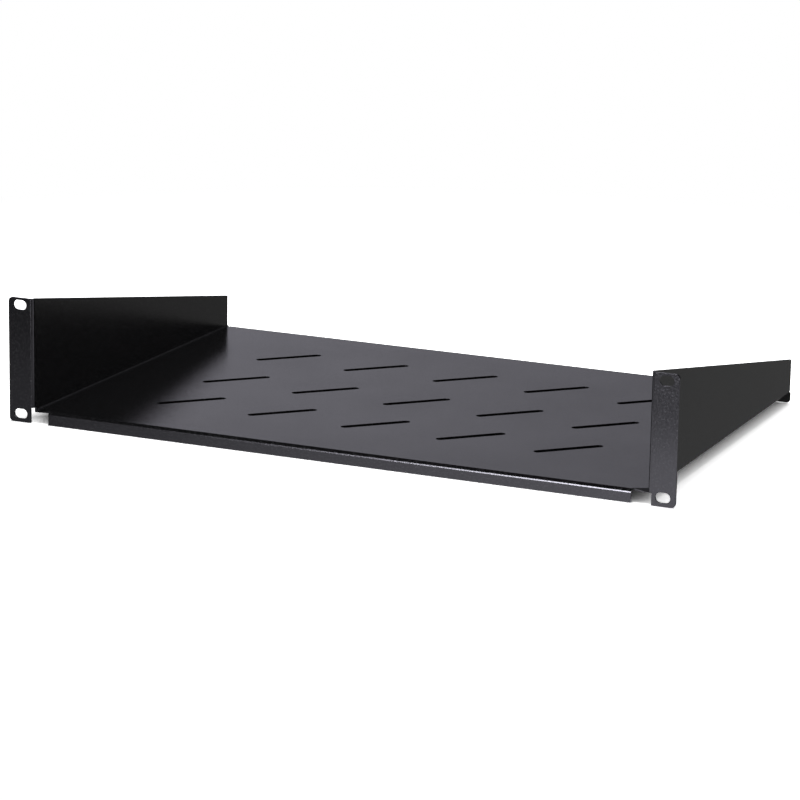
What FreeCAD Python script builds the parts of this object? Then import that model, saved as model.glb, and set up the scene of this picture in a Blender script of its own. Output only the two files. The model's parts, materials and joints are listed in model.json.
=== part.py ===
# Rack shelf, 19 inch, two units high: one folded and punched sheet of steel.
#
# Frame: the origin is the centre of the four rack slots, on the plane where the backs of the ears
# meet the rack's rails. +X runs to the right as seen from the front, +Y runs back into the rack,
# +Z is up. All sizes are in millimetres.
import FreeCAD
import Part
import Sketcher
import math
import os

from FreeCAD import Vector

# The driving dimensions: name, value and what it measures.
SIZES = [
    ("panel_width", 482.6, "overall width over both ears, the rack's panel width"),
    ("rack_units", 2, "height of the shelf in rack units"),
    ("rack_unit_height", 44.45, "height of one rack unit"),
    ("lower_clearance", 0.45, "lower edge of the ears above the bottom of the rack units"),
    ("upper_clearance", 1.45, "upper edge of the ears below the top of the rack units"),
    ("overall_depth", 297.0, "from the front of the ears to the back of the shelf"),
    ("sheet_thickness", 1.5, "thickness of the steel sheet"),
    ("bend_inner_radius", 1.2, "inside radius of every bend"),
    ("ear_flat_width", 16.4, "flat part of an ear, from its bend to its outer edge"),
    ("ear_corner_radius", 3.0, "rounding of an ear's outer corners"),
    ("ear_slot_length", 10.0, "rack slot, end to end"),
    ("ear_slot_width", 6.8, "rack slot, across"),
    ("ear_slot_side_distance", 8.75, "ear's outer edge to the centre of a rack slot"),
    ("ear_slot_unit_distance", 6.35, "top or bottom of the rack units to a rack slot's centre"),
    ("tray_height", 9.0, "top of the tray above the underside of the shelf"),
    ("rear_wall_height", 32.5, "top of a side wall at its back end, above the underside"),
    ("lip_setback", 11.0, "inner face of a side wall to the end of the front lip"),
    ("notch_margin", 1.0, "how far a front corner notch is cut past the bend"),
    ("relief_gap", 0.5, "clearance that a relief leaves beside a bend"),
    ("slit_width", 1.0, "width of the relief slit at a rear corner"),
    ("flange_gap", 0.3, "back end of a side wall to the inner face of the rear flange"),
    ("flange_rise", 0.6, "lower edge of the rear flange above the underside of the shelf"),
    ("flange_end_rise", 1.9, "how far the rear flange's ends stand up behind the walls' bends"),
    ("flange_corner_radius", 2.4, "rounding of the rear flange's lower corners"),
    ("vent_length", 50.0, "vent slot, end to end"),
    ("vent_width", 6.0, "vent slot, across"),
    ("vent_angle", 45.0, "lean of a vent slot from the front edge, in degrees"),
    ("vent_pitch", 70.0, "spacing of the vent slots along a row"),
    ("vent_count", 5, "vent slots in a row"),
    ("vent_front_distance", 75.0, "front of the ears to the front row of vents"),
    ("vent_row_spacing", 70.0, "front row to middle row"),
    ("vent_rear_distance", 74.0, "rear row of vents to the back of the shelf"),
    ("vent_rear_shift", 4.0, "how far the rear row is shifted to the right"),
]

# Places that several features share, as expressions over the sheet.
OUTER_RADIUS = "(dims.bend_inner_radius + dims.sheet_thickness)"
EAR_EDGE_X = "(dims.panel_width / 2)"
EAR_BEND_X = "(dims.panel_width / 2 - dims.ear_flat_width)"
WALL_OUTER_X = f"({EAR_BEND_X} - dims.bend_inner_radius)"
WALL_INNER_X = f"({WALL_OUTER_X} - dims.sheet_thickness)"
TRAY_FLAT_X = f"({WALL_OUTER_X} - {OUTER_RADIUS})"
LIP_END_X = f"({WALL_INNER_X} - dims.lip_setback)"
FRONT_Y = "(-dims.sheet_thickness)"
BEND_Y = "dims.bend_inner_radius"
NOTCH_Y = "(dims.bend_inner_radius + dims.notch_margin)"
BACK_Y = "(dims.overall_depth - dims.sheet_thickness)"
REAR_BEND_Y = f"({BACK_Y} - {OUTER_RADIUS})"
WALL_BACK_Y = f"({BACK_Y} - dims.sheet_thickness - dims.flange_gap)"
UNITS_TOP_Z = "(dims.rack_units * dims.rack_unit_height / 2)"
TOP_Z = f"({UNITS_TOP_Z} - dims.upper_clearance)"
BASE_Z = f"(dims.lower_clearance - {UNITS_TOP_Z})"
EAR_SLOT_Z = f"({UNITS_TOP_Z} - dims.ear_slot_unit_distance)"
TRAY_TOP_Z = f"({BASE_Z} + dims.tray_height)"
TRAY_UNDER_Z = f"({TRAY_TOP_Z} - dims.sheet_thickness)"
FOLD_Z = f"({TRAY_TOP_Z} - {OUTER_RADIUS})"
NOTCH_TOP_Z = f"({TRAY_TOP_Z} + dims.bend_inner_radius + dims.relief_gap)"
REAR_WALL_TOP_Z = f"({BASE_Z} + dims.rear_wall_height)"
FLANGE_BASE_Z = f"({BASE_Z} + dims.flange_rise)"
CUT_MARGIN = "1"

START, END, CENTRE = 1, 2, 3
ORIGIN, ORIGIN_POINT = -1, 1

doc = FreeCAD.newDocument("rack_shelf")
sheet = doc.addObject("Spreadsheet::Sheet", "dims")
for row, (alias, number, meaning) in enumerate(SIZES, start=1):
    sheet.set(f"A{row}", alias.replace("_", " "))
    sheet.set(f"B{row}", str(number))
    sheet.setAlias(f"B{row}", alias)
    sheet.set(f"C{row}", meaning)
doc.recompute()

body = doc.addObject("PartDesign::Body", "shelf")
body.Label = "shelf"


def value(expression):
    """The number that an expression over the sheet gives now."""
    result = sheet.evalExpression(expression)
    return float(getattr(result, "Value", result))


def origin_plane(role):
    """The body's own XY_Plane, XZ_Plane or YZ_Plane."""
    return next(item for item in body.Origin.OriginFeatures if item.Role == role)


def add_sketch(name, role, offset=None):
    """An empty sketch on an origin plane, moved along the plane's normal by an expression."""
    sketch = body.newObject("Sketcher::SketchObject", name)
    sketch.AttachmentSupport = [(origin_plane(role), "")]
    sketch.MapMode = "FlatFace"
    if offset is not None:
        sketch.setExpression(".AttachmentOffset.Base.z", offset)
    return sketch


def bind(sketch, kind, references, expression):
    """Add a dimension to a sketch and drive it from the sheet."""
    index = sketch.addConstraint(Sketcher.Constraint(kind, *references, value(expression)))
    sketch.setExpression(f"Constraints[{index}]", expression)


def relate(sketch, kind, *references):
    """Add a constraint without a dimension, such as Coincident or Tangent."""
    sketch.addConstraint(Sketcher.Constraint(kind, *references))


def place(sketch, geometry, point, across=None, up=None):
    """Hold a point of a sketch at an X and a Y from the sketch's origin."""
    if across is not None:
        bind(sketch, "DistanceX", (ORIGIN, ORIGIN_POINT, geometry, point), across)
    if up is not None:
        bind(sketch, "DistanceY", (ORIGIN, ORIGIN_POINT, geometry, point), up)


def add_polygon(sketch, corners):
    """A closed outline of straight lines; each corner is a pair of expressions."""
    points = [Vector(value(across), value(up), 0) for across, up in corners]
    first = sketch.GeometryCount
    for index, point in enumerate(points):
        sketch.addGeometry(Part.LineSegment(point, points[(index + 1) % len(points)]))
    for index in range(len(points)):
        following = first + (index + 1) % len(points)
        relate(sketch, "Coincident", first + index, END, following, START)
    for index, (across, up) in enumerate(corners):
        place(sketch, first + index, START, across, up)


def add_rectangle(sketch, left, right, low, high):
    """A rectangle between two X and two Y expressions."""
    x_low, x_high = value(left), value(right)
    y_low, y_high = value(low), value(high)
    corners = [Vector(x_low, y_low, 0), Vector(x_high, y_low, 0)]
    corners += [Vector(x_high, y_high, 0), Vector(x_low, y_high, 0)]
    first = sketch.GeometryCount
    for index in range(4):
        sketch.addGeometry(Part.LineSegment(corners[index], corners[(index + 1) % 4]))
    for index in range(4):
        relate(sketch, "Coincident", first + index, END, first + (index + 1) % 4, START)
    for index, kind in enumerate(["Horizontal", "Vertical", "Horizontal", "Vertical"]):
        relate(sketch, kind, first + index)
    place(sketch, first, START, left, low)
    place(sketch, first + 2, START, right, high)


def add_obround(sketch, across, up, length, width, angle=None):
    """A slot with round ends about a centre, at an angle to the sketch's X axis.

    A construction line joins the two end centres, and its middle is the slot's centre.
    """
    turn = FreeCAD.Rotation(Vector(0, 0, 1), value(angle) if angle else 0)
    centre = Vector(value(across), value(up), 0)
    radius = value(width) / 2
    reach = value(length) / 2 - radius
    ahead = turn.multVec(Vector(reach, 0, 0))
    aside = turn.multVec(Vector(0, radius, 0))
    beyond = turn.multVec(Vector(radius, 0, 0))
    near, far = centre - ahead, centre + ahead
    first = sketch.GeometryCount
    sketch.addGeometry(Part.LineSegment(near - aside, far - aside))
    sketch.addGeometry(Part.Arc(far - aside, far + beyond, far + aside))
    sketch.addGeometry(Part.LineSegment(far + aside, near + aside))
    sketch.addGeometry(Part.Arc(near + aside, near - beyond, near - aside))
    sketch.addGeometry(Part.LineSegment(near, far), True)
    sketch.addGeometry(Part.Point(centre), True)
    low, right_end, high, left_end, spine, middle = range(first, first + 6)
    relate(sketch, "Tangent", low, END, right_end, START)
    relate(sketch, "Tangent", right_end, END, high, START)
    relate(sketch, "Tangent", high, END, left_end, START)
    relate(sketch, "Tangent", left_end, END, low, START)
    relate(sketch, "Coincident", spine, START, left_end, CENTRE)
    relate(sketch, "Coincident", spine, END, right_end, CENTRE)
    relate(sketch, "Symmetric", spine, START, spine, END, middle, START)
    relate(sketch, "Equal", left_end, right_end)
    bind(sketch, "Radius", (right_end,), f"{width} / 2")
    bind(sketch, "Distance", (spine,), f"{length} - {width}")
    if angle:
        lean = Sketcher.Constraint("Angle", spine, math.radians(value(angle)))
        sketch.setExpression(f"Constraints[{sketch.addConstraint(lean)}]", f"{angle} * 1 deg")
    else:
        relate(sketch, "Horizontal", spine)
    place(sketch, middle, START, across, up)


def add_folded_strip(sketch, centre, start, turn, leg_end):
    """The section of a fold: a quarter bend about a centre, then a flat leg.

    The section starts square to the sheet at the unit direction start from the centre and bends
    to the unit direction turn. The leg runs on, away from start, to the expression leg_end, which
    is an X if the leg runs along X and a Y if it runs along Y.
    """
    middle = Vector(value(centre[0]), value(centre[1]), 0)
    outer, inner = value(OUTER_RADIUS), value("dims.bend_inner_radius")
    start, turn = Vector(*start, 0), Vector(*turn, 0)
    halfway = (start + turn).normalize()
    leg = start * -1
    leg_along_x = abs(leg.x) > 0.5
    reach = abs(value(leg_end) - (middle.x if leg_along_x else middle.y))
    first = sketch.GeometryCount
    begin_outer, begin_inner = middle + start * outer, middle + start * inner
    turn_outer, turn_inner = middle + turn * outer, middle + turn * inner
    tip_outer, tip_inner = turn_outer + leg * reach, turn_inner + leg * reach
    sketch.addGeometry(Part.LineSegment(begin_inner, begin_outer))
    sketch.addGeometry(Part.Arc(begin_outer, middle + halfway * outer, turn_outer))
    sketch.addGeometry(Part.LineSegment(turn_outer, tip_outer))
    sketch.addGeometry(Part.LineSegment(tip_outer, tip_inner))
    sketch.addGeometry(Part.LineSegment(tip_inner, turn_inner))
    sketch.addGeometry(Part.Arc(turn_inner, middle + halfway * inner, begin_inner))
    edge, outer_arc, outer_leg, tip, inner_leg, inner_arc = range(first, first + 6)
    # A sketch counts an arc's ends anticlockwise, whichever way it was drawn.
    begin, end = (START, END) if start.cross(turn).z > 0 else (END, START)
    relate(sketch, "Coincident", edge, END, outer_arc, begin)
    relate(sketch, "Tangent", outer_arc, end, outer_leg, START)
    relate(sketch, "Coincident", outer_leg, END, tip, START)
    relate(sketch, "Coincident", tip, END, inner_leg, START)
    relate(sketch, "Tangent", inner_leg, END, inner_arc, end)
    relate(sketch, "Coincident", inner_arc, begin, edge, START)
    relate(sketch, "Coincident", outer_arc, CENTRE, inner_arc, CENTRE)
    across_leg, along_leg = ("Vertical", "Horizontal") if leg_along_x else ("Horizontal", "Vertical")
    relate(sketch, along_leg, edge)
    relate(sketch, along_leg, edge, START, outer_arc, CENTRE)
    relate(sketch, along_leg, outer_leg)
    relate(sketch, along_leg, inner_leg)
    relate(sketch, across_leg, tip)
    bind(sketch, "Radius", (outer_arc,), OUTER_RADIUS)
    bind(sketch, "Radius", (inner_arc,), "dims.bend_inner_radius")
    place(sketch, outer_arc, CENTRE, centre[0], centre[1])
    if leg_along_x:
        place(sketch, tip, START, across=leg_end)
    else:
        place(sketch, tip, START, up=leg_end)


def finish_feature(feature, expected):
    """Rebuild, and stop if a feature failed or did not change the metal as expected."""
    body.Tip = feature
    doc.recompute()
    before = feature.BaseFeature.Shape.Volume if feature.BaseFeature else 0.0
    gained = feature.Shape.Volume - before
    if not feature.isValid() or gained * expected <= 0:
        raise RuntimeError(f"{feature.Name} changed the volume by {gained:.3f} mm3")
    print(f"{feature.Name}: {gained:+.1f} mm3")
    return feature


def pad(name, sketch, length, midplane=False, reverse=False):
    """Add a sketched section, one way along the sketch's normal or to both sides of it."""
    feature = body.newObject("PartDesign::Pad", name)
    feature.Profile = sketch
    feature.Midplane = midplane
    feature.Reversed = reverse
    feature.setExpression("Length", length)
    return finish_feature(feature, expected=1)


def pocket(name, sketch, length=None, midplane=False):
    """Cut a sketched outline against the sketch's normal, or right through if no length is given."""
    feature = body.newObject("PartDesign::Pocket", name)
    feature.Profile = sketch
    feature.Midplane = midplane
    if length is None:
        feature.Type = "ThroughAll"
    else:
        feature.setExpression("Length", length)
    return finish_feature(feature, expected=-1)


def mirror_left(name, feature):
    """Repeat a feature on the left, across the plane x = 0."""
    mirrored = body.newObject("PartDesign::Mirrored", name)
    mirrored.Originals = [feature]
    mirrored.MirrorPlane = (origin_plane("YZ_Plane"), [""])
    return finish_feature(mirrored, expected=1 if feature.TypeId.endswith("Pad") else -1)


def round_edges(name, radius, edge_centres):
    """Round the edges whose midpoints lie nearest to the given points."""
    base = body.Tip
    names = []
    for centre in edge_centres:
        gaps = [(edge.CenterOfMass - centre).Length for edge in base.Shape.Edges]
        names.append(f"Edge{gaps.index(min(gaps)) + 1}")
    fillet = body.newObject("PartDesign::Fillet", name)
    fillet.Base = (base, names)
    fillet.setExpression("Radius", radius)
    return finish_feature(fillet, expected=-1)


def minus(expression):
    """The same distance on the other side."""
    return f"(-{expression})"


def lay_tray():
    """The flat of the tray, between the bends on its four sides."""
    sketch = add_sketch("tray_outline", "XY_Plane", TRAY_UNDER_Z)
    add_rectangle(sketch, minus(TRAY_FLAT_X), TRAY_FLAT_X, BEND_Y, REAR_BEND_Y)
    pad("tray", sketch, "dims.sheet_thickness")


def fold_walls():
    """Side walls folded up along the tray, their tops cut on a slope down to the back."""
    section = add_sketch("wall_section", "XZ_Plane", minus(BEND_Y))
    bend_centre = (TRAY_FLAT_X, f"({TRAY_UNDER_Z} + {OUTER_RADIUS})")
    add_folded_strip(section, bend_centre, start=(0, -1), turn=(1, 0), leg_end=TOP_Z)
    right = pad("right_wall", section, f"{WALL_BACK_Y} - {BEND_Y}", reverse=True)
    mirror_left("left_wall", right)
    slope = add_sketch("wall_slope", "YZ_Plane")
    behind, above = f"({WALL_BACK_Y} + {CUT_MARGIN})", f"({TOP_Z} + {CUT_MARGIN})"
    add_polygon(slope, [(NOTCH_Y, TOP_Z), (WALL_BACK_Y, REAR_WALL_TOP_Z), (behind, REAR_WALL_TOP_Z),
                        (behind, above), (NOTCH_Y, above)])
    pocket("wall_taper", slope, midplane=True)


def fold_ears():
    """Ears folded outwards from the front ends of the walls, in the rack's mounting plane."""
    section = add_sketch("ear_section", "XY_Plane", BASE_Z)
    add_folded_strip(section, (EAR_BEND_X, BEND_Y), start=(-1, 0), turn=(0, -1), leg_end=EAR_EDGE_X)
    right = pad("right_ear", section, f"{TOP_Z} - {BASE_Z}")
    mirror_left("left_ear", right)


def fold_lip():
    """Front lip folded down from the tray, flush with the fronts of the ears."""
    section = add_sketch("lip_section", "YZ_Plane")
    add_folded_strip(section, (BEND_Y, FOLD_Z), start=(0, 1), turn=(-1, 0), leg_end=BASE_Z)
    pad("lip", section, f"2 * {LIP_END_X}", midplane=True)


def fold_rear_flange():
    """Rear flange folded down from the tray, with flat ends that close the walls' back ends."""
    section = add_sketch("flange_section", "YZ_Plane")
    below = FLANGE_BASE_Z
    add_folded_strip(section, (REAR_BEND_Y, FOLD_Z), start=(0, 1), turn=(1, 0), leg_end=below)
    pad("rear_flange", section, f"2 * {TRAY_FLAT_X}", midplane=True)
    outline = add_sketch("flange_outline", "XZ_Plane", minus(BACK_Y))
    tip = f"({FOLD_Z} + dims.flange_end_rise)"
    right_end = [(WALL_OUTER_X, below), (WALL_OUTER_X, tip), (TRAY_FLAT_X, tip), (TRAY_FLAT_X, FOLD_Z)]
    left_end = [(minus(across), up) for across, up in reversed(right_end)]
    add_polygon(outline, right_end + left_end)
    pad("flange_ends", outline, "dims.sheet_thickness")


def cut_corner_reliefs():
    """The cut-outs at the tray's corners that let neighbouring folds bend freely."""
    notches = add_sketch("front_notches", "XZ_Plane", "dims.sheet_thickness")
    below = f"({BASE_Z} - {CUT_MARGIN})"
    add_rectangle(notches, LIP_END_X, EAR_BEND_X, below, NOTCH_TOP_Z)
    add_rectangle(notches, minus(EAR_BEND_X), minus(LIP_END_X), below, NOTCH_TOP_Z)
    pocket("front_corner_notches", notches, f"{NOTCH_Y} - {FRONT_Y}")
    slits = add_sketch("rear_slits", "XY_Plane", TRAY_TOP_Z)
    slit_x = f"({TRAY_FLAT_X} - dims.slit_width)"
    slit_y = f"({REAR_BEND_Y} - dims.relief_gap)"
    behind = f"({BACK_Y} + {CUT_MARGIN})"
    add_rectangle(slits, slit_x, TRAY_FLAT_X, slit_y, behind)
    add_rectangle(slits, minus(TRAY_FLAT_X), minus(slit_x), slit_y, behind)
    pocket("rear_corner_slits", slits, OUTER_RADIUS)


def punch_ear_slots():
    """The rack slots: one at the lower left, repeated to the right and upwards."""
    sketch = add_sketch("ear_slot_outline", "XZ_Plane", "dims.sheet_thickness")
    across = f"({EAR_EDGE_X} - dims.ear_slot_side_distance)"
    low = minus(EAR_SLOT_Z)
    add_obround(sketch, minus(across), low, "dims.ear_slot_length", "dims.ear_slot_width")
    slot = pocket("ear_slot", sketch, "2 * dims.sheet_thickness")
    grid = body.newObject("PartDesign::LinearPattern", "ear_slots")
    grid.Originals = [slot]
    grid.Direction = (sketch, ["H_Axis"])
    grid.Occurrences = 2
    grid.setExpression("Length", f"2 * {across}")
    grid.Direction2 = (sketch, ["V_Axis"])
    grid.Occurrences2 = 2
    grid.setExpression("Length2", f"2 * {EAR_SLOT_Z}")
    finish_feature(grid, expected=-1)


def punch_vents():
    """Slanted vent slots: the first of each row, repeated to the right along the row."""
    sketch = add_sketch("vent_outlines", "XY_Plane", TRAY_TOP_Z)
    first_x = "(-dims.vent_pitch * (dims.vent_count - 1) / 2)"
    front_y = f"({FRONT_Y} + dims.vent_front_distance)"
    rows = [
        (first_x, front_y),
        (first_x, f"({front_y} + dims.vent_row_spacing)"),
        (f"({first_x} + dims.vent_rear_shift)", f"({BACK_Y} - dims.vent_rear_distance)"),
    ]
    for across, up in rows:
        add_obround(sketch, across, up, "dims.vent_length", "dims.vent_width", "dims.vent_angle")
    column = pocket("vent_column", sketch, "2 * dims.sheet_thickness")
    vents = body.newObject("PartDesign::LinearPattern", "vents")
    vents.Originals = [column]
    vents.Direction = (sketch, ["H_Axis"])
    vents.setExpression("Occurrences", "dims.vent_count")
    vents.setExpression("Length", "dims.vent_pitch * (dims.vent_count - 1)")
    finish_feature(vents, expected=-1)


def round_corners():
    """Round the ears' outer corners and the rear flange's lower corners."""
    ear_x, ear_y, ends = value(EAR_EDGE_X), value(FRONT_Y) / 2, (value(BASE_Z), value(TOP_Z))
    ear_corners = [Vector(x, ear_y, z) for x in (-ear_x, ear_x) for z in ends]
    round_edges("ear_corners", "dims.ear_corner_radius", ear_corners)
    end_x, end_y = value(WALL_OUTER_X), value(BACK_Y) - value("dims.sheet_thickness") / 2
    flange_corners = [Vector(x, end_y, value(FLANGE_BASE_Z)) for x in (-end_x, end_x)]
    round_edges("flange_corners", "dims.flange_corner_radius", flange_corners)


lay_tray()
fold_walls()
fold_ears()
fold_lip()
fold_rear_flange()
cut_corner_reliefs()
punch_ear_slots()
punch_vents()
round_corners()

for item in doc.Objects:
    if "Invalid" in item.State or "Error" in item.State:
        raise RuntimeError(f"{item.Name} failed: {item.State}")
    if item.TypeId == "Sketcher::SketchObject" and not item.FullyConstrained:
        raise RuntimeError(f"{item.Name} is not fully constrained")
shape = body.Shape
if shape.isNull() or not shape.isValid() or len(shape.Solids) != 1:
    raise RuntimeError("the shelf is not one valid solid")

box = shape.BoundBox
print(f"shelf: {box.XLength:.2f} x {box.YLength:.2f} x {box.ZLength:.2f} mm, {shape.Volume:.0f} mm3")
os.makedirs("parts", exist_ok=True)
shape.exportStep(os.path.join("parts", f"{body.Label}.step"))
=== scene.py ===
# %% [markdown]
# # A rack shelf, from flat blank to powder coat
# A rack shelf is a sheet metal part. A press punches a flat blank out of sheet steel, a brake folds
# it along straight lines, and a powder coat is baked onto the finished fold. This lesson makes it in
# that order: the blank's outline, the punched slots, the sheet's thickness and softened edges, the
# folds, and last the coat. A box with walls pushed out of it would be quicker, but its bends would
# be guesses. A folded blank has the same bends, reliefs and slots as the real one, for one reason:
# they came about in the same way.
#
# The frame comes first. It is the exact solid that the looks are built around.

import json
import math

import bmesh
import bpy
from mathutils import Matrix, Vector

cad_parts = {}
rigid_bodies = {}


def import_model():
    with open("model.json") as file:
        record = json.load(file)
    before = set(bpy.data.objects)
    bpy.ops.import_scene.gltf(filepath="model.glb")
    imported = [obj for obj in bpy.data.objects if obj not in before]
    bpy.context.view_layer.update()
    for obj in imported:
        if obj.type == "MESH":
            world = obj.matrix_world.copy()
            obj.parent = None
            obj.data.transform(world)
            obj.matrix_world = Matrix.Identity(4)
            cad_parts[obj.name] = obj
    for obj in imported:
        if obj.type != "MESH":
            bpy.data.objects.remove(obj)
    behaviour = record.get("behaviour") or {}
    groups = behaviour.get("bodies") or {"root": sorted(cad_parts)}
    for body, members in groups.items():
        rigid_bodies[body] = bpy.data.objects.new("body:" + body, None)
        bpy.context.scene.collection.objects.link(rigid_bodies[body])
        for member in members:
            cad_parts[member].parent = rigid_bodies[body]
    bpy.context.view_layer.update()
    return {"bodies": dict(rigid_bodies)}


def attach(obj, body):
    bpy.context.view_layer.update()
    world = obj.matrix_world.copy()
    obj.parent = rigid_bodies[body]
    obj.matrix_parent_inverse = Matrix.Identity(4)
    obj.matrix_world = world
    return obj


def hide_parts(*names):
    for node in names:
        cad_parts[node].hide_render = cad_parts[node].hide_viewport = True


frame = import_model()

# %% [markdown]
# ## The sizes
# Every size is a named value in metres, in the frame that the rack gives: x runs to the right, y runs
# back into the rack, and the ears' backs lie on y = 0. A fold has an inside radius, and the sheet's
# middle layer keeps its length round it. That middle length tells how much of the flat blank each
# bend uses up, which is the sum that a sheet metal worker calls the bend allowance.

# %% Sizes of the shelf
MM = 0.001
SHEET = 1.5 * MM
INNER_RADIUS = 1.2 * MM
OUTER_RADIUS = INNER_RADIUS + SHEET
ALLOWANCE = math.radians(90) * (INNER_RADIUS + SHEET / 2)

EAR_EDGE = 241.3 * MM          # middle of the shelf to an ear's outer edge
EAR_FLAT = 16.4 * MM
WALL_OUTSIDE = EAR_EDGE - EAR_FLAT - INNER_RADIUS
WALL_INSIDE = WALL_OUTSIDE - SHEET
TRAY_EDGE = WALL_OUTSIDE - OUTER_RADIUS    # where the tray ends and a wall's bend starts

FRONT_BEND = INNER_RADIUS      # y at which the tray and the walls end at the front
NOTCH_BACK = FRONT_BEND + 1.0 * MM
BACK = 295.5 * MM
REAR_BEND = BACK - OUTER_RADIUS

TOP = 43.0 * MM
BASE = -44.0 * MM
TRAY_TOP = BASE + 9.0 * MM
TRAY_UNDERSIDE = TRAY_TOP - SHEET
WALL_START = TRAY_UNDERSIDE + OUTER_RADIUS   # height at which a wall's bend ends
LIP_START = TRAY_TOP - OUTER_RADIUS          # height at which the lip's bend ends
REAR_WALL_TOP = BASE + 32.5 * MM
NOTCH_TOP = TRAY_TOP + INNER_RADIUS + 0.5 * MM
FLANGE_BASE = BASE + 0.6 * MM
FLANGE_TIP = LIP_START + 1.9 * MM            # top of the flange's ends, behind the walls' bends

LIP_END = WALL_INSIDE - 11.0 * MM
SLIT_SIDE = TRAY_EDGE - 1.0 * MM
SLIT_FRONT = REAR_BEND - 0.5 * MM
WALL_BACK = BACK - SHEET - 0.3 * MM          # the walls stop just short of the rear flange
EAR_CORNER, FLANGE_CORNER = 3.0 * MM, 2.4 * MM
print(f"bend allowance {ALLOWANCE / MM:.3f} mm, tray to x = {TRAY_EDGE / MM:.1f} mm")

# %% [markdown]
# ## The blank's outline
# The flat blank is drawn as the tray's plane carries on in all directions. A point of a wall at
# height z lies at the tray's edge plus the bend allowance plus its height above the bend, and the
# ears, the lip and the rear flange are unrolled in the same way. Only the right half is listed, from
# the middle of the lip round to the middle of the rear flange, and the left half is its mirror image.
# A traced outline would do for one view, but this one folds up to the exact part.
#
# The four outer corners of the ears and the two of the flange are rounded in the blank, where a
# corner tool cuts them on the real part too.

# %% Unroll the outline
EAR_START = FRONT_BEND - ALLOWANCE           # flat y at which the ears and the lip come out of their bend
FLANGE_START = REAR_BEND + ALLOWANCE


def wall_x(height):
    """Flat x of a point on the right wall or ear, from its height."""
    return TRAY_EDGE + ALLOWANCE + height - WALL_START


def ear_y(x):
    """Flat y of a point on the ear, from its x on the folded part."""
    return EAR_START - (x - (WALL_OUTSIDE + INNER_RADIUS))


def rounded(corner, before, after, radius, steps=8):
    """Points of an arc that rounds a square corner between two neighbours."""
    corner, before, after = Vector(corner), Vector(before), Vector(after)
    inward, outward = (before - corner).normalized(), (after - corner).normalized()
    centre = corner + (inward + outward) * radius
    return [
        tuple(centre - outward * radius * math.cos(turn) - inward * radius * math.sin(turn))
        for turn in (math.radians(90) * step / steps for step in range(steps + 1))
    ]


lip_edge = EAR_START - (LIP_START - BASE)
flange_edge = FLANGE_START + (LIP_START - FLANGE_BASE)
flange_tip = FLANGE_START - (FLANGE_TIP - LIP_START)
ear_low, ear_high, ear_edge = wall_x(BASE), wall_x(TOP), ear_y(EAR_EDGE)
notch_x = wall_x(NOTCH_TOP)
right_half = [(LIP_END, lip_edge), (LIP_END, NOTCH_BACK), (notch_x, NOTCH_BACK), (notch_x, EAR_START),
              (ear_low, EAR_START)]
right_half += rounded((ear_low, ear_edge), (ear_low, EAR_START), (ear_high, ear_edge), EAR_CORNER)
right_half += rounded((ear_high, ear_edge), (ear_low, ear_edge), (ear_high, NOTCH_BACK), EAR_CORNER)
right_half += [(ear_high, NOTCH_BACK), (wall_x(REAR_WALL_TOP), WALL_BACK), (TRAY_EDGE, WALL_BACK),
               (TRAY_EDGE, SLIT_FRONT), (SLIT_SIDE, SLIT_FRONT), (SLIT_SIDE, FLANGE_START),
               (TRAY_EDGE, FLANGE_START), (TRAY_EDGE, flange_tip), (WALL_OUTSIDE, flange_tip)]
right_half += rounded((WALL_OUTSIDE, flange_edge), (WALL_OUTSIDE, flange_tip), (0.0, flange_edge),
                      FLANGE_CORNER)
outline = right_half + [(-x, y) for x, y in reversed(right_half)]
print(f"blank: {2 * ear_high / MM:.1f} x {(flange_edge - ear_edge) / MM:.1f} mm, {len(outline)} corners")

# %% [markdown]
# ## Small helpers for node trees
# Geometry Nodes trees and materials are both built from nodes and links, and the same helpers serve
# for them all. The first five make a node and fill in its sockets, do arithmetic, carry a value from
# one range to another, make a smooth step, and mix two values or colours. The last three make a tree
# with named inputs, put it on a mesh, and turn the result into a plain mesh. A modifier knows its
# inputs by the sockets' identifiers, not by their names, so run_tree looks the identifiers up.

# %% Node helpers
def add_node(tree, kind, feeds=None, **settings):
    """A node, its settings, and what goes into its sockets by name or number."""
    node = tree.nodes.new(kind)
    for name, setting in settings.items():
        setattr(node, name, setting)
    for key, source in (feeds or {}).items():
        if isinstance(source, bpy.types.NodeSocket):
            tree.links.new(source, node.inputs[key])
        else:
            node.inputs[key].default_value = source
    return node


def calculate(tree, operation, *sources, clamp=False):
    """The result of a Math node."""
    node = add_node(tree, "ShaderNodeMath", dict(enumerate(sources)), operation=operation, use_clamp=clamp)
    return node.outputs[0]


def remap(tree, source, low, high, to_low=0.0, to_high=1.0, curve="LINEAR"):
    """A value carried from one range to another, and held at the new range's ends."""
    feeds = {"Value": source, "From Min": low, "From Max": high, "To Min": to_low, "To Max": to_high}
    return add_node(tree, "ShaderNodeMapRange", feeds, interpolation_type=curve).outputs["Result"]


def soft_step(tree, source, low, high):
    """0 below a value, 1 above another, and a smooth step between them."""
    return remap(tree, source, low, high, curve="SMOOTHSTEP")


def mix(tree, factor, first, second, kind="FLOAT"):
    """The first value where the factor is 0 and the second where it is 1; kind RGBA mixes colours."""
    feeds = {"Factor": factor, "A": first, "B": second}
    return add_node(tree, "ShaderNodeMix", feeds, data_type=kind).outputs["Result"]


def new_tree(name, inputs):
    """A Geometry Nodes tree with named inputs; returns the tree, its inputs by name, and its end."""
    tree = bpy.data.node_groups.new(name, "GeometryNodeTree")
    for label, kind in inputs.items():
        tree.interface.new_socket(label, in_out="INPUT", socket_type=f"NodeSocket{kind}")
    tree.interface.new_socket("Geometry", in_out="OUTPUT", socket_type="NodeSocketGeometry")
    start = tree.nodes.new("NodeGroupInput")
    end = tree.nodes.new("NodeGroupOutput")
    return tree, start.outputs, end.inputs["Geometry"]


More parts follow.
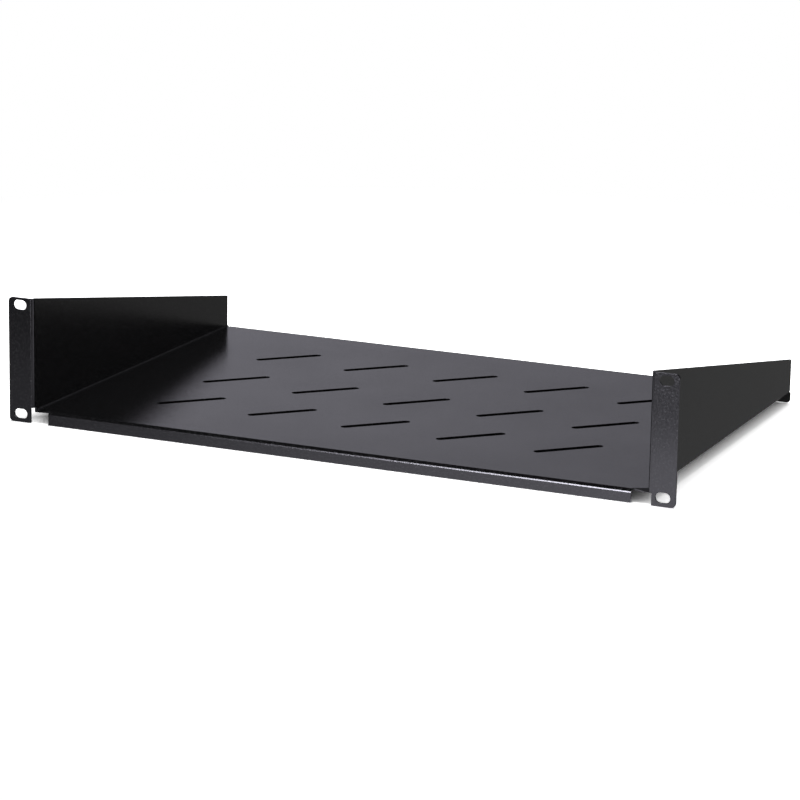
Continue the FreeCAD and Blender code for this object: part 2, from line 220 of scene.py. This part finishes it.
def run_tree(name, mesh, tree, **values):
    """An object with a mesh and a tree on it, the tree's inputs set before it is first evaluated."""
    thing = bpy.data.objects.new(name, mesh)
    bpy.context.scene.collection.objects.link(thing)
    modifier = thing.modifiers.new(tree.name, "NODES")
    modifier.node_group = tree
    for item in tree.interface.items_tree:
        label = item.name.replace(" ", "_").lower()
        if item.in_out == "INPUT" and label in values:
            modifier[item.identifier] = values[label]
    return thing


def baked_mesh(thing, name):
    """The plain mesh that an object's modifiers make, in place of the object."""
    bpy.context.view_layer.update()
    graph = bpy.context.evaluated_depsgraph_get()
    ready = thing.evaluated_get(graph)
    mesh = bpy.data.meshes.new_from_object(ready, preserve_all_data_layers=True, depsgraph=graph)
    mesh.name = name
    bpy.data.objects.remove(thing)
    return mesh


print("helpers ready")

# %% [markdown]
# ## The powder coat
# The finish is a satin black powder coat. The powder is sprayed on dry and melts in an oven, so it
# never levels out as wet paint does. Up close it keeps a soft ripple a little over a millimetre wide,
# the orange peel, and a finer grain on top of it. The ripple's crests are painted a shade lighter, a
# painted glint where their tops would catch the light, and they are duller than the rest. Faint
# clouds some centimetres wide vary the gloss. The colour hardly changes.
# What the eye reads as material is how the ripple breaks up the reflections, so most of the work is
# in the roughness and in the bump.
#
# The nodes read Object coordinates, so the grain keeps its true scale on every face, and stays put
# when the view moves. A picture of a coat would be stretched in the bends.

# %% Powder coat material
RIPPLES_PER_METRE, GRAINS_PER_METRE, CLOUDS_PER_METRE = 800.0, 1500.0, 14.0
RIPPLE_HEIGHT, GRAIN_HEIGHT = 0.06 * MM, 0.012 * MM
COAT = (0.0025, 0.0025, 0.0027, 1.0)
# painted glint: the lighter colour on the ripple's crests stands for their tops catching the light
COAT_WITH_PAINTED_GLINT = (0.018, 0.018, 0.019, 1.0)


def powder_coat_material():
    """A near-black coat whose ripple, grain and clouds come from noise in object space."""
    material = bpy.data.materials.new("satin_black_coat")
    material.use_nodes = True
    tree = material.node_tree
    tree.nodes.clear()
    place = tree.nodes.new("ShaderNodeTexCoord").outputs["Object"]

    def noise(scale, detail, roughness=0.5):
        feeds = {"Vector": place, "Scale": scale, "Detail": detail, "Roughness": roughness}
        return add_node(tree, "ShaderNodeTexNoise", feeds).outputs["Fac"]

    ripple = noise(RIPPLES_PER_METRE, detail=2.0)
    grain = noise(GRAINS_PER_METRE, detail=2.0, roughness=0.6)
    clouds = noise(CLOUDS_PER_METRE, detail=3.0)
    # where the painted glint goes: the crests of the ripple
    crests = remap(tree, ripple, 0.5, 0.68)
    colour = mix(tree, crests, COAT, COAT_WITH_PAINTED_GLINT, kind="RGBA")
    gloss = remap(tree, clouds, 0.3, 0.7, 0.18, 0.21)
    duller_crests = remap(tree, ripple, 0.35, 0.65, -0.015, 0.03)
    roughness = calculate(tree, "ADD", gloss, duller_crests)
    soft = add_node(tree, "ShaderNodeBump", {"Height": ripple, "Strength": 1.0, "Distance": RIPPLE_HEIGHT})
    fine = add_node(tree, "ShaderNodeBump", {
        "Height": grain, "Strength": 0.6, "Distance": GRAIN_HEIGHT, "Normal": soft.outputs["Normal"],
    })
    shader = add_node(tree, "ShaderNodeBsdfPrincipled", {
        "Base Color": colour, "Roughness": roughness, "IOR": 1.58, "Normal": fine.outputs["Normal"],
    })
    add_node(tree, "ShaderNodeOutputMaterial", {"Surface": shader.outputs["BSDF"]})
    return material


powder_coat = powder_coat_material()
print("material:", powder_coat.name, "with", len(powder_coat.node_tree.nodes), "nodes")

# %% [markdown]
# ## The punched slots
# The press punches fifteen slanted vent slots into the tray and two rack slots into each ear. They
# are one shape, a slot with round ends, in different sizes and rows, so one small tree draws a row of
# them: a circle is drawn, its two halves are pulled apart along x, and the curve is copied onto a
# line of points. The circle has no point on its middle line, which is what lets it be pulled apart.
#
# The holes could be cut out of a solid with a boolean. Filling a curve that has other curves inside
# it is cleaner: it leaves a flat face with holes, and nothing has to be cut.

# %% A tree that draws a row of slots
CIRCLE_POINTS = 34             # even, but not a multiple of four, so that none lies on x = 0


def slot_row_tree():
    """Curves of equal slots with round ends, in a row."""
    tree, given, end = new_tree("slot_row", {
        "Length": "Float", "Width": "Float", "Lean": "Float", "First Slot": "Vector",
        "Step": "Vector", "Count": "Int",
    })
    radius = calculate(tree, "MULTIPLY", given["Width"], 0.5)
    circle = add_node(tree, "GeometryNodeCurvePrimitiveCircle", {
        "Resolution": CIRCLE_POINTS, "Radius": radius,
    })
    middle = add_node(tree, "GeometryNodeInputPosition").outputs["Position"]
    side = calculate(tree, "SIGN", add_node(tree, "ShaderNodeSeparateXYZ", {0: middle}).outputs["X"])
    reach = calculate(tree, "SUBTRACT", calculate(tree, "MULTIPLY", given["Length"], 0.5), radius)
    pull = add_node(tree, "ShaderNodeCombineXYZ", {"X": calculate(tree, "MULTIPLY", side, reach)})
    slot = add_node(tree, "GeometryNodeSetPosition", {
        "Geometry": circle.outputs["Curve"], "Offset": pull.outputs["Vector"],
    })
    points = add_node(tree, "GeometryNodeMeshLine", {
        "Count": given["Count"], "Start Location": given["First Slot"], "Offset": given["Step"],
    })
    turn = add_node(tree, "ShaderNodeCombineXYZ", {"Z": given["Lean"]})
    row = add_node(tree, "GeometryNodeInstanceOnPoints", {
        "Points": points.outputs["Mesh"], "Instance": slot.outputs["Geometry"],
        "Rotation": turn.outputs["Vector"],
    })
    whole = add_node(tree, "GeometryNodeRealizeInstances", {"Geometry": row.outputs["Instances"]})
    tree.links.new(whole.outputs["Geometry"], end)
    return tree


slot_row = slot_row_tree()
print("slot row tree:", len(slot_row.nodes), "nodes")

# %% [markdown]
# ## The punched blank
# This tree turns the outline into a curve, draws the five rows of slots with the tree above, and
# fills the lot. Its inputs are the sizes that a punch programme has: the vents' length, width, lean
# and spacing, and where each row starts. The rear row of vents sits a few millimetres further right
# than the other two.

# %% A tree that punches the blank
VENT_LENGTH, VENT_WIDTH, VENT_LEAN = 50.0 * MM, 6.0 * MM, math.radians(45)
VENT_SPACING = 70.0 * MM
VENTS_IN_ROW = 5
REAR_ROW_SHIFT = 4.0 * MM
first_vent = -VENT_SPACING * (VENTS_IN_ROW - 1) / 2
vent_rows = {
    "Front Row": (first_vent, 73.5 * MM, 0.0),
    "Middle Row": (first_vent, 143.5 * MM, 0.0),
    "Rear Row": (first_vent + REAR_ROW_SHIFT, BACK - 74.0 * MM, 0.0),
}
EAR_SLOT_LENGTH, EAR_SLOT_WIDTH = 10.0 * MM, 6.8 * MM
EAR_SLOT_Z = 38.1 * MM         # height of the upper rack slots, and minus that of the lower ones
EAR_SLOT_INSET = 8.75 * MM     # an ear's outer edge to the middle of its rack slots
ear_slot_y = ear_y(EAR_EDGE - EAR_SLOT_INSET)
ear_rows = {
    "Right Ear Row": (wall_x(-EAR_SLOT_Z), ear_slot_y, 0.0),
    "Left Ear Row": (-wall_x(EAR_SLOT_Z), ear_slot_y, 0.0),
}


def punched_blank_tree():
    """A flat face from an outline, with rows of slots left open in it."""
    sizes = ["Vent Length", "Vent Width", "Vent Lean", "Vent Spacing", "Ear Slot Length", "Ear Slot Width",
             "Ear Slot Spacing"]
    inputs = {"Geometry": "Geometry", **{size: "Float" for size in sizes}, "Vents in Row": "Int"}
    inputs.update({row: "Vector" for row in [*vent_rows, *ear_rows]})
    inputs["Coat"] = "Material"
    tree, given, end = new_tree("punched_blank", inputs)
    curves = add_node(tree, "GeometryNodeJoinGeometry")
    edge = add_node(tree, "GeometryNodeMeshToCurve", {"Mesh": given["Geometry"]})
    tree.links.new(edge.outputs["Curve"], curves.inputs[0])
    for rows, family, lean, count in [(vent_rows, "Vent", given["Vent Lean"], given["Vents in Row"]),
                                      (ear_rows, "Ear Slot", math.radians(90), 2)]:
        step = add_node(tree, "ShaderNodeCombineXYZ", {"X": given[f"{family} Spacing"]})
        for row in rows:
            slots = add_node(tree, "GeometryNodeGroup", {
                "Length": given[f"{family} Length"], "Width": given[f"{family} Width"], "Lean": lean,
                "First Slot": given[row], "Step": step.outputs["Vector"], "Count": count,
            }, node_tree=slot_row)
            tree.links.new(slots.outputs["Geometry"], curves.inputs[0])
    face = add_node(tree, "GeometryNodeFillCurve", {"Curve": curves.outputs["Geometry"]}, mode="NGONS")
    whole = add_node(tree, "GeometryNodeRealizeInstances", {"Geometry": face.outputs["Mesh"]})
    coated = add_node(tree, "GeometryNodeSetMaterial", {
        "Geometry": whole.outputs["Geometry"], "Material": given["Coat"],
    })
    tree.links.new(coated.outputs["Geometry"], end)
    return tree


punched_blank = punched_blank_tree()
loop = bpy.data.meshes.new("blank_outline")
loop.from_pydata([(x, y, 0.0) for x, y in outline],
                 [(index, (index + 1) % len(outline)) for index in range(len(outline))], [])
row_starts = {row.replace(" ", "_").lower(): start for row, start in {**vent_rows, **ear_rows}.items()}
blank = run_tree(
    "blank", loop, punched_blank, vent_length=VENT_LENGTH, vent_width=VENT_WIDTH, vent_lean=VENT_LEAN,
    vent_spacing=VENT_SPACING, vents_in_row=VENTS_IN_ROW, ear_slot_length=EAR_SLOT_LENGTH,
    ear_slot_width=EAR_SLOT_WIDTH, ear_slot_spacing=2 * EAR_SLOT_Z, coat=powder_coat, **row_starts)
print("blank laid out, with", VENTS_IN_ROW * len(vent_rows), "vents and", 2 * len(ear_rows), "rack slots")

# %% [markdown]
# ## Thickness and softened edges
# Punching leaves a crisp edge, and the coat rounds it off: a baked powder coat pulls back a little
# from every sharp edge and leaves a fine, smooth rim that catches the light. A Solidify modifier
# gives the sheet its thickness below the upper face, and a Bevel modifier rounds every edge that
# turns by more than 30 degrees, which is the whole outline and every slot, above and below. This is
# done flat, where both modifiers have the easiest work.

# %% Give the blank its thickness and edges
EDGE_RADIUS = 0.25 * MM
thickness = blank.modifiers.new("thickness", "SOLIDIFY")
thickness.thickness = SHEET
thickness.offset = -1
edges = blank.modifiers.new("edges", "BEVEL")
edges.width = EDGE_RADIUS
edges.segments = 3
edges.limit_method = "ANGLE"
edges.angle_limit = math.radians(30)
flat = baked_mesh(blank, "flat_sheet")
print("flat sheet:", len(flat.vertices), "corners,", len(flat.polygons), "faces")

# %% [markdown]
# ## Marks for the folds
# A face bends only where it has edges to bend at, so the flat sheet is cut into narrow strips across
# each of its four bends. Then its points are marked. The ears hang on the walls by a short neck, and
# their lower parts reach past the walls' bend lines without bending, so they are marked to be carried
# as they are. The rear flange folds with the tray and must not follow the walls, and its two ends,
# which close the walls' back ends, are carried flat past the bend too. These marks are what the
# corner notches and the rear slits do on real sheet: they let one fold go past another.

# %% Cut the bends into strips
STRIPS = 10
CUT_TOLERANCE = 1e-7
sheet_in_work = bmesh.new()
sheet_in_work.from_mesh(flat)
for line, direction in [(TRAY_EDGE, (1, 0, 0)), (TRAY_EDGE, (-1, 0, 0)), (-FRONT_BEND, (0, -1, 0)),
                        (REAR_BEND, (0, 1, 0))]:
    for strip in range(STRIPS + 1):
        cut = Vector(direction) * (line + ALLOWANCE * strip / STRIPS)
        everything = [*sheet_in_work.verts, *sheet_in_work.edges, *sheet_in_work.faces]
        bmesh.ops.bisect_plane(sheet_in_work, geom=everything, dist=CUT_TOLERANCE, plane_co=cut,
                               plane_no=direction)
sheet_in_work.to_mesh(flat)
sheet_in_work.free()
print("flat sheet, cut:", len(flat.vertices), "corners,", len(flat.polygons), "faces")

# %% Mark the parts
NEAR = 0.1 * MM


def on_ear(x, y):
    """Is a point of the blank on an ear or its neck?"""
    return abs(x) > LIP_END + NEAR and y < NOTCH_BACK + NEAR


def on_tip(x, y):
    """Is it on one of the rear flange's two ends?"""
    return abs(x) > TRAY_EDGE - NEAR and y > WALL_BACK + NEAR


def on_flange(x, y):
    """Is it on the rear flange, its bend or its ends?"""
    between_slits = abs(x) < SLIT_SIDE + NEAR and y > REAR_BEND - NEAR
    return between_slits or on_tip(x, y) or y > FLANGE_START - NEAR


marks = {
    "right_ear": lambda x, y: x > 0 and on_ear(x, y),
    "left_ear": lambda x, y: x < 0 and on_ear(x, y),
    "flange_part": on_flange,
    "flange_tips": on_tip,
}
for name, belongs in marks.items():
    flags = [belongs(point.co.x, point.co.y) for point in flat.vertices]
    flat.attributes.new(name, "BOOLEAN", "POINT").data.foreach_set("value", flags)
    print(name, sum(flags), "of", len(flags), "points")

# %% [markdown]
# ## One tree for every fold
# Folding is a rule, so it is written once. A point's run is how far it lies past the bend line. Over
# the bend allowance the run turns into an angle about the bend's centre, and the part past the bend
# goes on straight in the new direction. A point keeps its own distance from the centre, which is the
# inside radius on one face of the sheet and the outside radius on the other, so the sheet keeps its
# thickness all the way round.
#
# A Simple Deform modifier can bend too, but it has no straight part before and after the bend, and an
# armature would thin the sheet at the corner.

# %% A tree that folds a sheet along a line
def fold_tree():
    """Folds what lies past a line, up or down, round a radius."""
    tree, given, end = new_tree("fold", {
        "Geometry": "Geometry", "Direction": "Vector", "Bend Line": "Float", "Upwards": "Float",
        "Inner Face": "Float", "Inner Radius": "Float", "Sheet": "Float", "Angle": "Float",
        "Folded Part": "Bool", "Carried Part": "Bool",
    })
    position = add_node(tree, "GeometryNodeInputPosition").outputs["Position"]
    height = add_node(tree, "ShaderNodeSeparateXYZ", {0: position}).outputs["Z"]
    along = add_node(tree, "ShaderNodeVectorMath", {0: position, 1: given["Direction"]},
                     operation="DOT_PRODUCT").outputs["Value"]
    run = calculate(tree, "SUBTRACT", along, given["Bend Line"])
    middle_radius = calculate(tree, "MULTIPLY_ADD", given["Sheet"], 0.5, given["Inner Radius"])
    allowance = calculate(tree, "MULTIPLY", middle_radius, given["Angle"])
    bent = calculate(tree, "DIVIDE", run, allowance, clamp=True)
    bent = calculate(tree, "MAXIMUM", bent, given["Carried Part"])
    angle = calculate(tree, "MULTIPLY", bent, given["Angle"])
    straight = calculate(tree, "SUBTRACT", run, calculate(tree, "MULTIPLY", bent, allowance))
    sine, cosine = calculate(tree, "SINE", angle), calculate(tree, "COSINE", angle)
    centre = calculate(tree, "MULTIPLY_ADD", given["Upwards"], given["Inner Radius"], given["Inner Face"])
    radius = calculate(tree, "MULTIPLY", calculate(tree, "SUBTRACT", centre, height), given["Upwards"])
    ahead = calculate(tree, "MULTIPLY_ADD", radius, sine, calculate(tree, "MULTIPLY", straight, cosine))
    below = calculate(tree, "SUBTRACT", calculate(tree, "MULTIPLY", radius, cosine),
                      calculate(tree, "MULTIPLY", straight, sine))
    new_height = calculate(tree, "SUBTRACT", centre, calculate(tree, "MULTIPLY", below, given["Upwards"]))
    sideways = add_node(tree, "ShaderNodeVectorMath", {
        0: given["Direction"], "Scale": calculate(tree, "SUBTRACT", ahead, run),
    }, operation="SCALE").outputs["Vector"]
    rise = add_node(tree, "ShaderNodeCombineXYZ", {"Z": calculate(tree, "SUBTRACT", new_height, height)})
    move = add_node(tree, "ShaderNodeVectorMath", {0: sideways, 1: rise.outputs["Vector"]}, operation="ADD")
    folded = add_node(tree, "GeometryNodeSetPosition", {
        "Geometry": given["Geometry"], "Selection": given["Folded Part"], "Offset": move.outputs["Vector"],
    })
    tree.links.new(folded.outputs["Geometry"], end)
    return tree


fold = fold_tree()
print("fold tree:", len(fold.nodes), "nodes")

# %% [markdown]
# ## Folding the shelf
# The brake folds the outermost flaps first, because they can't be reached later. So the lip and the
# ears go down first, which one stroke does, since they share one bend line. The rear flange goes down
# next. The walls come up last and carry the ears with them into the rack's plane. The tree holds the
# four folds one after another, and the marks say which points each fold moves.

# %% Fold the lip and ears, the flange and the walls
def folded_shelf_tree():
    """The shelf's four folds, in the brake's order."""
    tree, given, end = new_tree("folded_shelf", {
        "Geometry": "Geometry", "Upper Face": "Float", "Inner Radius": "Float", "Sheet": "Float",
        "Angle": "Float", "Front Bend": "Float", "Rear Bend": "Float", "Wall Bend": "Float",
        "Coat": "Material",
    })

    def mark(name):
        node = add_node(tree, "GeometryNodeInputNamedAttribute", {"Name": name}, data_type="BOOLEAN")
        return node.outputs["Attribute"]

    lower_face = calculate(tree, "SUBTRACT", given["Upper Face"], given["Sheet"])
    front_line = calculate(tree, "MULTIPLY", given["Front Bend"], -1.0)
    flange = mark("flange_part")
    not_flange = add_node(tree, "FunctionNodeBooleanMath", {0: flange}, operation="NOT").outputs[0]
    folds = [
        ((0, -1, 0), front_line, -1.0, lower_face, True, False),
        ((0, 1, 0), given["Rear Bend"], -1.0, lower_face, flange, mark("flange_tips")),
        ((1, 0, 0), given["Wall Bend"], 1.0, given["Upper Face"], not_flange, mark("right_ear")),
        ((-1, 0, 0), given["Wall Bend"], 1.0, given["Upper Face"], not_flange, mark("left_ear")),
    ]
    geometry = given["Geometry"]
    for direction, line, upwards, face, part, carried in folds:
        geometry = add_node(tree, "GeometryNodeGroup", {
            "Geometry": geometry, "Direction": direction, "Bend Line": line, "Upwards": upwards,
            "Inner Face": face, "Inner Radius": given["Inner Radius"], "Sheet": given["Sheet"],
            "Angle": given["Angle"], "Folded Part": part, "Carried Part": carried,
        }, node_tree=fold).outputs["Geometry"]
    whole = add_node(tree, "GeometryNodeRealizeInstances", {"Geometry": geometry})
    coated = add_node(tree, "GeometryNodeSetMaterial", {
        "Geometry": whole.outputs["Geometry"], "Material": given["Coat"],
    })
    tree.links.new(coated.outputs["Geometry"], end)
    return tree


flat.transform(Matrix.Translation((0, 0, TRAY_TOP)))
in_the_brake = run_tree("in_the_brake", flat, folded_shelf_tree(), upper_face=TRAY_TOP,
                        inner_radius=INNER_RADIUS, sheet=SHEET, angle=math.radians(90),
                        front_bend=FRONT_BEND, rear_bend=REAR_BEND, wall_bend=TRAY_EDGE, coat=powder_coat)
shelf_mesh = baked_mesh(in_the_brake, "rack_shelf")
corners = [point.co / MM for point in shelf_mesh.vertices]
reach = [[round(pick(corner[axis] for corner in corners), 3) for axis in range(3)] for pick in (min, max)]
print("folded, in mm:", reach)

# %% [markdown]
# ## The finished shelf
# The folded mesh becomes the piece that is seen, and the solid of the same shape stays behind it for
# the simulation. Its faces are shaded smooth, and a Weighted Normal modifier lets the large flat
# faces decide the normals, so that the flats look flat and only the bends and the fine rims turn the
# light.

# %% Make the piece and let it ride on the frame
shelf = bpy.data.objects.new("folded_shelf", shelf_mesh)
bpy.context.scene.collection.objects.link(shelf)
shelf_mesh.shade_smooth()
flats = shelf.modifiers.new("flats", "WEIGHTED_NORMAL")
flats.mode = "FACE_AREA"
flats.weight = 100
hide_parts("shelf")
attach(shelf, list(frame["bodies"])[0])
check = bmesh.new()
check.from_mesh(shelf_mesh)
print("open edges:", sum(not edge.is_manifold for edge in check.edges),
      "volume in mm3:", round(check.calc_volume(signed=True) / MM**3))
check.free()

# %% [markdown]
# ## The table's material
# The shelf lies on a white table that fades into a white background without an edge. To the camera
# the table is bright enough to burn out to white, so only the soft shadow beside the shelf is left of
# it. Under the tray, where little light gets in, it is darker still, partly from the lamps and partly
# from a painted shade. Some way off it simply gives off white light, so that no edge shows.
#
# In the coat's reflections the table glows with a painted tone of its own. It is bright in front on
# the right, falls off to the left and towards the viewer, and is dim beside and behind the shelf.
# Tones like these come from the cards and flags that stand round a black product in a studio, and
# they are what sets the ears, the lip and the walls apart. A table of one tone would leave them all
# alike.

# %% The table's material
WHITE = (1.0, 1.0, 1.0, 1.0)
COOL = (0.97, 0.95, 1.08, 1.0)           # the studio light's slight violet
# The shade under the tray is partly painted: a mask darkens the table there, for the camera and in
# reflections.
SHADE_OFFSET = 12.5 * MM                 # the dark patch under the tray lies this far to the left
SHADE_SIDES = (202.5 * MM, 232.5 * MM)   # it clears between these distances sideways from its middle
SHADE_ENDS = (120.0 * MM, 147.0 * MM)    # and between these, forwards and backwards


def seen_table(tree, rays, clear, away):
    """What the camera and matt surfaces see: white with a soft shadow, and, for the camera, a painted shade
    under the tray.
    """
    for_camera = calculate(tree, "MULTIPLY_ADD", clear, 2.4, 0.05)
    brightness = mix(tree, rays["Is Camera Ray"], 0.7, for_camera)
    tone = add_node(tree, "ShaderNodeCombineColor", {0: brightness, 1: brightness, 2: brightness})
    matt = add_node(tree, "ShaderNodeBsdfDiffuse", {"Color": tone.outputs["Color"]})
    white = add_node(tree, "ShaderNodeEmission", {"Color": WHITE, "Strength": 1.0})
    far = calculate(tree, "MULTIPLY", soft_step(tree, away, 0.42, 0.85), rays["Is Camera Ray"])
    return add_node(tree, "ShaderNodeMixShader", {0: far, 1: matt.outputs[0], 2: white.outputs[0]}).outputs[0]


def mirrored_table(tree, clear, across, back):
    """What reflections see: a painted glow, bright in front on the right, dim beside and behind the shelf."""
    to_the_right = remap(tree, across, -0.22, 0.21, 0.2, 1.4)
    in_front = calculate(tree, "MULTIPLY_ADD", to_the_right, soft_step(tree, back, -0.45, -0.23), 0.12)
    at_side = remap(tree, across, -0.3, 0.3, 0.145, 0.165, curve="SMOOTHSTEP")
    behind_ears = soft_step(tree, back, -0.149, -0.14)
    # the painted shade under the tray dims the reflected tone too
    tone = calculate(tree, "MULTIPLY", mix(tree, behind_ears, in_front, at_side), clear)
    tint = mix(tree, behind_ears, COOL, WHITE, kind="RGBA")
    # painted glow: the table gives off this tone in reflections, though it is no lamp
    return add_node(tree, "ShaderNodeEmission", {"Color": tint, "Strength": tone}).outputs[0]


def table_material():
    """A white table with one tone for the camera and another for reflections.

    Its coordinates start under the middle of the shelf. clear is 0 under the tray, where a painted
    shade darkens the table, and 1 beside it.
    """
    material = bpy.data.materials.new("white_table")
    material.use_nodes = True
    tree = material.node_tree
    tree.nodes.clear()
    rays = tree.nodes.new("ShaderNodeLightPath").outputs
    place = tree.nodes.new("ShaderNodeTexCoord").outputs["Object"]
    away = add_node(tree, "ShaderNodeVectorMath", {0: place}, operation="LENGTH").outputs["Value"]
    split = add_node(tree, "ShaderNodeSeparateXYZ", {0: place}).outputs
    across, back = split["X"], split["Y"]
    # the mask that paints extra shade on the table under the tray
    off_centre = calculate(tree, "ABSOLUTE", calculate(tree, "ADD", across, SHADE_OFFSET))
    past_sides = soft_step(tree, off_centre, *SHADE_SIDES)
    past_ends = soft_step(tree, calculate(tree, "ABSOLUTE", back), *SHADE_ENDS)
    clear = calculate(tree, "MAXIMUM", past_sides, past_ends)
    whole = add_node(tree, "ShaderNodeMixShader", {
        0: rays["Is Glossy Ray"], 1: seen_table(tree, rays, clear, away),
        2: mirrored_table(tree, clear, across, back),
    })
    add_node(tree, "ShaderNodeOutputMaterial", {"Surface": whole.outputs[0]})
    return material


white_table = table_material()
print("material:", white_table.name, "with", len(white_table.node_tree.nodes), "nodes")

# %% [markdown]
# ## The table top
# The scene's floor is the table top, one flat square at the height of the shelf's lowest edge, and far
# larger than the picture.

# %% Lay the table
FLOOR_REACH = 8.0
MIDDLE_Y = BACK / 2
floor_mesh = bpy.data.meshes.new("table_top")
floor_corners = [(x * FLOOR_REACH, y * FLOOR_REACH, 0) for x, y in [(-1, -1), (1, -1), (1, 1), (-1, 1)]]
floor_mesh.from_pydata(floor_corners, [], [(0, 1, 2, 3)])
floor_mesh.materials.append(white_table)
floor = bpy.data.objects.new("table_top", floor_mesh)
floor.location = (0, MIDDLE_Y, BASE)
bpy.context.scene.collection.objects.link(floor)
print(f"floor at z = {BASE / MM:.1f} mm")

# %% [markdown]
# ## The light that is mirrored
# A black object shows its surroundings more than its own colour, so the light is planned by what each
# face mirrors. The tray mirrors a bright panel low behind the shelf on the left. A fainter glow high
# on the right and a faint band low in front keep the faces that turn there from going black, and the
# rest is nearly dark. Only reflections see this pattern. The camera sees white, and matt surfaces get
# an even level, so neither the background nor the shadow depends on it. Real panels could do the same,
# but they would light the table too.

# %% World
world = bpy.data.worlds.new("studio")
bpy.context.scene.world = world
world.use_nodes = True
tree = world.node_tree
tree.nodes.clear()
rays = tree.nodes.new("ShaderNodeLightPath").outputs
towards = tree.nodes.new("ShaderNodeTexCoord").outputs["Generated"]
split = add_node(tree, "ShaderNodeSeparateXYZ", {0: towards}).outputs
to_x, to_y, to_z = split["X"], split["Y"], split["Z"]

low = calculate(tree, "SUBTRACT", soft_step(tree, to_z, 0.1, 0.18), soft_step(tree, to_z, 0.25, 0.5))
left = calculate(tree, "SUBTRACT", soft_step(tree, to_x, -0.85, -0.65), soft_step(tree, to_x, -0.6, 0.1))
low_behind = calculate(tree, "MULTIPLY", soft_step(tree, to_y, -0.1, 0.2), low)
panel = calculate(tree, "MULTIPLY", low_behind, left)
high_right = calculate(tree, "MULTIPLY", soft_step(tree, to_x, 0.0, 0.4), soft_step(tree, to_z, 0.35, 0.6))
in_front = calculate(tree, "SUBTRACT", 1.0, soft_step(tree, to_y, -0.6, -0.3))
fainter = calculate(tree, "MAXIMUM", high_right, calculate(tree, "MULTIPLY", low, in_front))
around = calculate(tree, "MULTIPLY_ADD", fainter, 0.35, 0.035)
mirrored = calculate(tree, "MULTIPLY_ADD", panel, 0.63, around)
plain = mix(tree, rays["Is Camera Ray"], 0.55, 1.0)
strength = mix(tree, rays["Is Glossy Ray"], plain, mirrored)
tint = mix(tree, rays["Is Glossy Ray"], WHITE, COOL, kind="RGBA")
sky = add_node(tree, "ShaderNodeBackground", {"Color": tint, "Strength": strength})
add_node(tree, "ShaderNodeOutputWorld", {"Surface": sky.outputs[0]})
print("world:", world.name, "with", len(tree.nodes), "nodes")

# %% [markdown]
# ## Lamps
# A wide soft lamp overhead lights what is matt and draws the soft shadow on the table. A second one in
# front is seen only as a reflection, and draws the highlight along the lip's bend. With the two jobs
# split, each can be set by itself.

# %% Lamps
def soft_light(name, position, width, height, watts, colour=(1, 1, 1), mirrored=False):
    """A rectangular lamp that faces the shelf and isn't in the picture.

    It is seen only by reflections if mirrored is set, and only by matt surfaces if not.
    """
    data = bpy.data.lights.new(name, "AREA")
    data.shape = "RECTANGLE"
    data.size, data.size_y, data.energy, data.color = width, height, watts, colour
    lamp = bpy.data.objects.new(name, data)
    lamp.location = position
    to_shelf = Vector((0.0, MIDDLE_Y, 0.0)) - Vector(position)
    lamp.rotation_euler = to_shelf.to_track_quat("-Z", "Y").to_euler()
    lamp.visible_camera = False
    lamp.visible_glossy, lamp.visible_diffuse = mirrored, not mirrored
    bpy.context.scene.collection.objects.link(lamp)


soft_light("overhead", (0.0, 0.25, 1.4), 0.7, 0.7, 8.0)
soft_light("front_box", (-0.2, -1.3, 0.3), 0.5, 0.68, 25.0, colour=COOL[:3], mirrored=True)

# %% [markdown]
# ## Camera
# The photograph is taken from the right, a little above, with a long lens from over two metres away,
# so the far edges hardly shrink. The place, the directions and the focal length were solved from the
# shelf's own edges.

# %% Camera
YAW, PITCH, ROLL = 0.41067, 0.24631, 0.01749
FOCAL_PIXELS, IMAGE_PIXELS, SENSOR = 3407.5, 800, 36.0
eye = Vector((0.90748, -1.96980, 0.54428))
ahead = Vector((-math.sin(YAW) * math.cos(PITCH), math.cos(YAW) * math.cos(PITCH), -math.sin(PITCH)))
level = Vector((math.cos(YAW), math.sin(YAW), 0))
upward = level.cross(ahead)
right = level * math.cos(ROLL) + upward * math.sin(ROLL)
upward = upward * math.cos(ROLL) - level * math.sin(ROLL)
lens = bpy.data.cameras.new("camera")
lens.sensor_width = SENSOR
lens.lens = FOCAL_PIXELS / IMAGE_PIXELS * SENSOR
lens.clip_start, lens.clip_end = 0.05, 50
camera = bpy.data.objects.new("camera", lens)
camera.matrix_world = Matrix.Translation(eye) @ Matrix((right, upward, -ahead)).transposed().to_4x4()
bpy.context.scene.collection.objects.link(camera)
bpy.context.scene.camera = camera
print(f"camera {eye.length:.2f} m away, lens {lens.lens:.0f} mm")

# %% [markdown]
# ## Finish
# The colours are shown as they are, without a film look.

# %% Finish
bpy.context.scene.view_settings.view_transform = "Standard"
